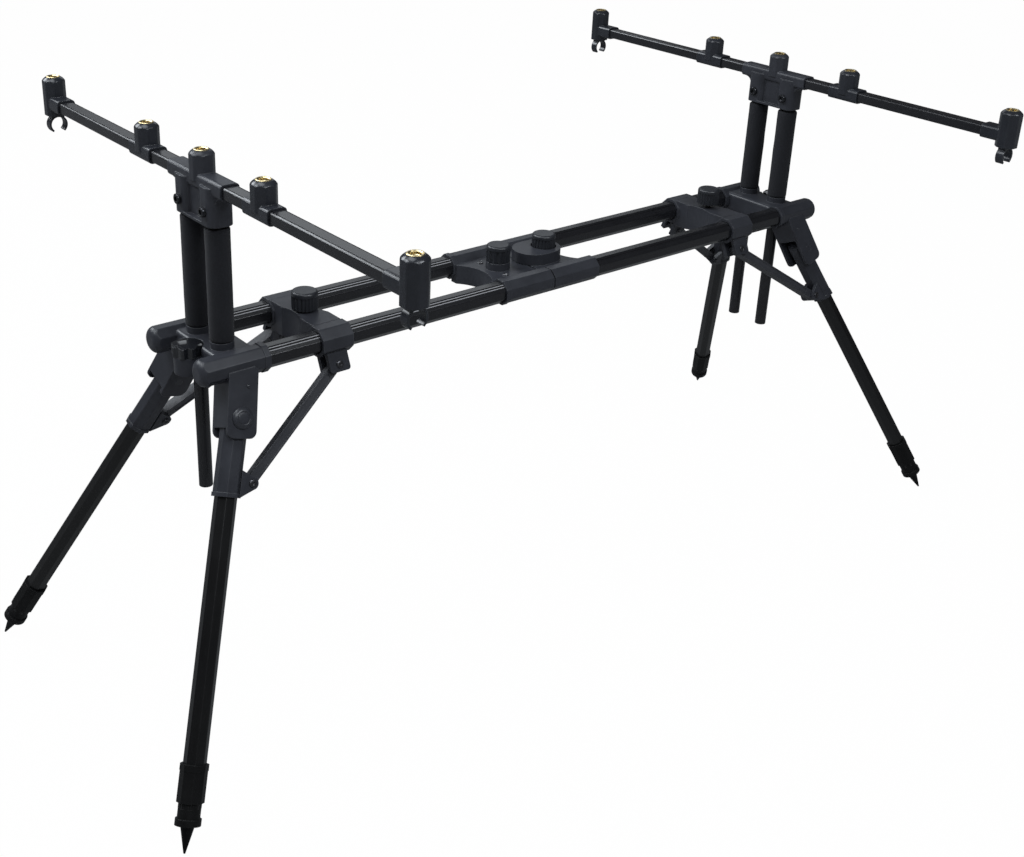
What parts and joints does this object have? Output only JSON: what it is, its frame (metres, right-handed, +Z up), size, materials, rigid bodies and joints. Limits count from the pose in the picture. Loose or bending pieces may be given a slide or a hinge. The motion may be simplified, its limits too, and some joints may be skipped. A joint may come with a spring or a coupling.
{
  "type": "rod pod",
  "caption": "Fishing rod pod: octagonal rails joined at the middle, folding braced legs with spikes, and an upright at each end with a buzz bar of brass-threaded sockets.",
  "frame": {"origin": "middle of the pod on the ground, where the spikes stand", "axes": "+X along the rails towards the far end, +Y towards the rear, +Z up"},
  "size_m": [1.1284, 0.6668, 0.578],
  "materials": {
    "rail": "black anodised, glossy",
    "inner_rail": "dark anodised",
    "moulding": "black moulded, satin",
    "pivot_cap": "black, smooth dome",
    "knob": "black moulded, satin",
    "clamp": "black, glossy",
    "bolt": "dark steel",
    "cross_bolt": "black steel, polished",
    "leg": "black anodised, satin",
    "foot": "black moulded",
    "spike": "black",
    "strut": "black moulded, satin",
    "pole": "black anodised",
    "foam": "matt black foam",
    "bar": "black anodised, glossy edge",
    "socket": "black moulded, satin gloss",
    "brass": "turned"
  },
  "bodies": {
    "near_frame": {"near_rails": "rail", "near_end_bracket": "moulding", "near_clevises": "moulding", "near_pivot_bolts": "pivot_cap", "near_centre_block": "moulding"},
    "far_frame": {"far_rails": "rail", "inner_rails": "inner_rail", "far_end_bracket": "moulding", "far_clevises": "moulding", "far_pivot_bolts": "pivot_cap", "far_centre_block": "moulding"},
    "near_slider": {"near_slider": "moulding", "near_slider_bolts": "bolt"},
    "near_upright": {"near_poles": "pole", "near_foam_sleeves": "foam", "near_bar_bracket": "moulding", "near_cross_bolts": "cross_bolt", "near_buzz_bar": "bar", "near_bar_sockets": "socket", "near_brass_inserts": "brass"},
    "near_slider_knob": {"near_slider_knob": "knob"},
    "near_centre_knob": {"near_centre_knob": "knob"},
    "near_clamp_knob": {"near_clamp_knob": "clamp"},
    "near_front_leg": {"near_front_leg_socket": "moulding", "near_front_leg_tube": "leg", "near_front_foot": "foot", "near_front_spike": "spike", "near_front_strut_pin": "bolt"},
    "near_front_strut": {"near_front_strut": "strut"},
    "near_rear_leg": {"near_rear_leg_socket": "moulding", "near_rear_leg_tube": "leg", "near_rear_foot": "foot", "near_rear_spike": "spike", "near_rear_strut_pin": "bolt"},
    "near_rear_strut": {"near_rear_strut": "strut"},
    "far_slider": {"far_slider": "moulding", "far_slider_bolts": "bolt"},
    "far_upright": {"far_poles": "pole", "far_foam_sleeves": "foam", "far_bar_bracket": "moulding", "far_cross_bolts": "cross_bolt", "far_buzz_bar": "bar", "far_bar_sockets": "socket", "far_brass_inserts": "brass"},
    "far_slider_knob": {"far_slider_knob": "knob"},
    "far_centre_knob": {"far_centre_knob": "knob"},
    "far_clamp_knob": {"far_clamp_knob": "clamp"},
    "far_front_leg": {"far_front_leg_socket": "moulding", "far_front_leg_tube": "leg", "far_front_foot": "foot", "far_front_spike": "spike", "far_front_strut_pin": "bolt"},
    "far_front_strut": {"far_front_strut": "strut"},
    "far_rear_leg": {"far_rear_leg_socket": "moulding", "far_rear_leg_tube": "leg", "far_rear_foot": "foot", "far_rear_spike": "spike", "far_rear_strut_pin": "bolt"},
    "far_rear_strut": {"far_rear_strut": "strut"}
  },
  "joints": [
    {"name": "draw_out", "type": "slide", "parent": "near_frame", "child": "far_frame", "axis": [1, 0, 0], "range_m": [0, 0.18]},
    {"name": "near_fold", "type": "slide", "parent": "near_frame", "child": "near_slider", "axis": [1, 0, 0], "range_m": [0, 0.08819]},
    {"name": "near_raise", "type": "slide", "parent": "near_frame", "child": "near_upright", "axis": [0, 0, 1], "range_m": [0, 0.12]},
    {"name": "near_slider_knob_turn", "type": "hinge", "parent": "near_slider", "child": "near_slider_knob", "pos_m": [-0.29711, 0, 0.39599], "axis": [0, 0, 1], "continuous": true},
    {"name": "near_centre_knob_turn", "type": "hinge", "parent": "near_frame", "child": "near_centre_knob", "pos_m": [-0.0455, 0, 0.39549], "axis": [0, 0, 1], "continuous": true},
    {"name": "near_clamp_knob_turn", "type": "hinge", "parent": "near_frame", "child": "near_clamp_knob", "pos_m": [-0.4285, 0, 0.38089], "axis": [0, 0, 1], "continuous": true},
    {"name": "near_front_leg_swing", "type": "hinge", "parent": "near_frame", "child": "near_front_leg", "pos_m": [-0.4145, -0.06184, 0.33436], "axis": [0, -0.9182, 0.396], "range_deg": [0, 112.14]},
    {"name": "near_front_strut_swing", "type": "hinge", "parent": "near_front_leg", "child": "near_front_strut", "pos_m": [-0.41731, -0.08644, 0.27732], "axis": [0, -0.9182, 0.396], "range_deg": [-146.62, 0]},
    {"name": "near_rear_leg_swing", "type": "hinge", "parent": "near_frame", "child": "near_rear_leg", "pos_m": [-0.4145, 0.06184, 0.33436], "axis": [0, -0.9182, -0.396], "range_deg": [0, 112.14]},
    {"name": "near_rear_strut_swing", "type": "hinge", "parent": "near_rear_leg", "child": "near_rear_strut", "pos_m": [-0.41731, 0.08644, 0.27732], "axis": [0, -0.9182, -0.396], "range_deg": [-146.62, 0]},
    {"name": "far_fold", "type": "slide", "parent": "far_frame", "child": "far_slider", "axis": [-1, 0, 0], "range_m": [0, 0.08819]},
    {"name": "far_raise", "type": "slide", "parent": "far_frame", "child": "far_upright", "axis": [0, 0, 1], "range_m": [0, 0.12]},
    {"name": "far_slider_knob_turn", "type": "hinge", "parent": "far_slider", "child": "far_slider_knob", "pos_m": [0.29711, 0, 0.39599], "axis": [0, 0, 1], "continuous": true},
    {"name": "far_centre_knob_turn", "type": "hinge", "parent": "far_frame", "child": "far_centre_knob", "pos_m": [0.0215, 0, 0.39549], "axis": [0, 0, 1], "continuous": true},
    {"name": "far_clamp_knob_turn", "type": "hinge", "parent": "far_frame", "child": "far_clamp_knob", "pos_m": [0.4285, 0, 0.38089], "axis": [0, 0, 1], "continuous": true},
    {"name": "far_front_leg_swing", "type": "hinge", "parent": "far_frame", "child": "far_front_leg", "pos_m": [0.4145, -0.06184, 0.33436], "axis": [0, 0.9182, -0.396], "range_deg": [0, 112.14]},
    {"name": "far_front_strut_swing", "type": "hinge", "parent": "far_front_leg", "child": "far_front_strut", "pos_m": [0.41731, -0.08644, 0.27732], "axis": [0, 0.9182, -0.396], "range_deg": [-146.62, 0]},
    {"name": "far_rear_leg_swing", "type": "hinge", "parent": "far_frame", "child": "far_rear_leg", "pos_m": [0.4145, 0.06184, 0.33436], "axis": [0, 0.9182, 0.396], "range_deg": [0, 112.14]},
    {"name": "far_rear_strut_swing", "type": "hinge", "parent": "far_rear_leg", "child": "far_rear_strut", "pos_m": [0.41731, 0.08644, 0.27732], "axis": [0, 0.9182, 0.396], "range_deg": [-146.62, 0]}
  ],
  "couplings": [
    {"joint": "near_front_leg_swing", "follows": "near_fold", "rad_per_m": 22.19},
    {"joint": "near_front_strut_swing", "follows": "near_fold", "rad_per_m": -29.014},
    {"joint": "near_rear_leg_swing", "follows": "near_fold", "rad_per_m": 22.19},
    {"joint": "near_rear_strut_swing", "follows": "near_fold", "rad_per_m": -29.014},
    {"joint": "far_front_leg_swing", "follows": "far_fold", "rad_per_m": 22.19},
    {"joint": "far_front_strut_swing", "follows": "far_fold", "rad_per_m": -29.014},
    {"joint": "far_rear_leg_swing", "follows": "far_fold", "rad_per_m": 22.19},
    {"joint": "far_rear_strut_swing", "follows": "far_fold", "rad_per_m": -29.014}
  ]
}
